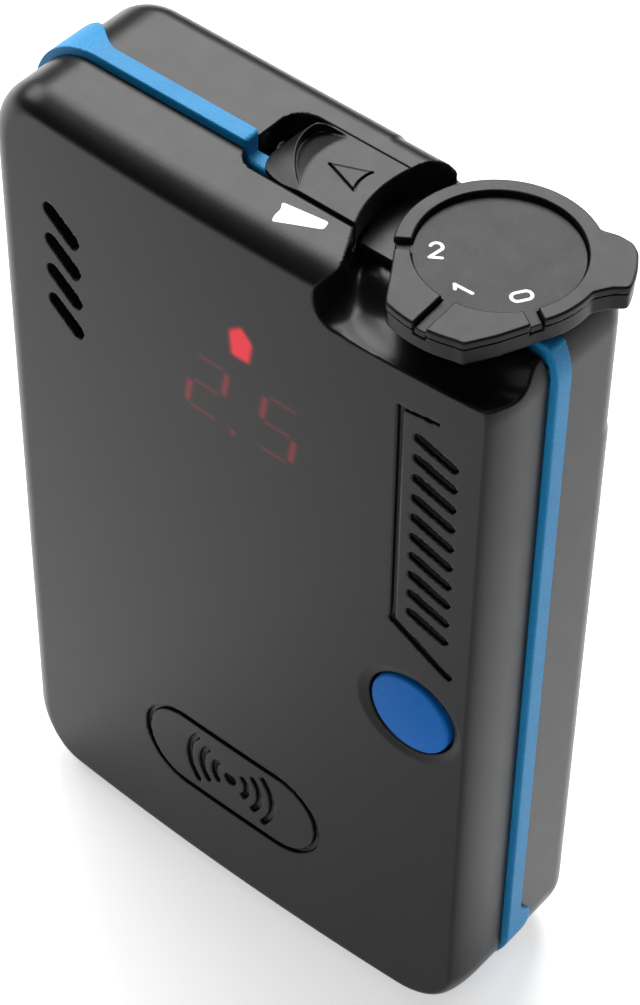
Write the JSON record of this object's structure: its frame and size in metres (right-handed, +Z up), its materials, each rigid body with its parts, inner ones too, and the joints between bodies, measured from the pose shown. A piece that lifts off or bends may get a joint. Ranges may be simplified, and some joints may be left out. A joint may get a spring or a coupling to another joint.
{
  "type": "avalanche transceiver",
  "caption": "Pocket avalanche transceiver: two-shell case with a seal band, corner function knob, sprung lock slider, push button, dead-front display and a hinged cell door.",
  "frame": {"origin": "middle of the bottom end that the case stands on, half way between the front and back faces", "axes": "+X to the right seen from the front, +Y from the front face to the back, +Z up towards the knob end"},
  "size_m": [0.0731, 0.0262, 0.112],
  "materials": {
    "case_plastic": "fine satin moulded black",
    "control_black": "satin moulded black",
    "band_blue": "grained elastomer",
    "button_blue": "satin",
    "seal_rubber": "moulded rubber",
    "steel": "bright",
    "contact_brass": "stamped sheet",
    "copper": "enamelled wire winding",
    "ferrite": "sintered",
    "circuit_board": "solder mask",
    "component_black": "moulded",
    "smoked_lens": "clear dark red",
    "cell_jacket": "plain jacket"
  },
  "bodies": {
    "case": {"front_housing": "case_plastic", "rear_housing": "case_plastic", "seal_band": "band_blue", "knob_oring": "seal_rubber", "rotary_switch": "component_black", "detent_ball": "steel", "detent_spring": "steel", "lock_spring": "steel", "button_boot": "seal_rubber", "tact_switch": "component_black", "display_window": "smoked_lens", "display_module": "component_black", "main_board": "circuit_board", "signal_processor": "component_black", "speaker": "steel", "speaker_gasket": "seal_rubber", "antenna_x_rod": "ferrite", "antenna_x_winding": "copper", "antenna_y_rod": "ferrite", "antenna_y_winding": "copper", "antenna_z_rod": "ferrite", "antenna_z_winding": "copper", "door_gasket": "seal_rubber", "door_hinge_pin": "steel", "battery_1": "cell_jacket", "battery_2": "cell_jacket", "battery_3": "cell_jacket", "battery_spring_1": "steel", "battery_spring_2": "steel", "battery_spring_3": "steel", "contact_bottom_1": "contact_brass", "contact_bottom_2": "contact_brass", "contact_top_1": "contact_brass", "contact_top_2": "contact_brass", "housing_screw_1": "steel", "housing_screw_2": "steel", "housing_screw_3": "steel", "housing_screw_4": "steel"},
    "knob": {"function_knob": "control_black", "knob_label_disc": "control_black", "knob_shaft": "steel", "knob_screw": "steel"},
    "slider": {"lock_slider": "control_black"},
    "button": {"option_button": "button_blue"},
    "door": {"battery_door": "case_plastic"},
    "latch": {"door_latch": "control_black"}
  },
  "joints": [
    {"name": "knob_turn", "type": "hinge", "parent": "case", "child": "knob", "pos_m": [0.02411, 0.00294, 0.111], "axis": [0, 0, 1], "range_deg": [-114, 0]},
    {"name": "lock_slide", "type": "slide", "parent": "case", "child": "slider", "axis": [1, 0, 0], "range_m": [-0.0015, 0], "stiffness_N_per_m": 300, "springref_m": 0.002},
    {"name": "button_press", "type": "slide", "parent": "case", "child": "button", "axis": [0, 1, 0], "range_m": [0, 0.0007], "stiffness_N_per_m": 1500, "springref_m": -0.0005},
    {"name": "door_swing", "type": "hinge", "parent": "case", "child": "door", "pos_m": [0, 0.0129, 0.08], "axis": [1, 0, 0], "range_deg": [0, 100]},
    {"name": "latch_turn", "type": "hinge", "parent": "door", "child": "latch", "pos_m": [0, 0.0137, 0.0216], "axis": [0, 1, 0], "range_deg": [0, 90]}
  ]
}
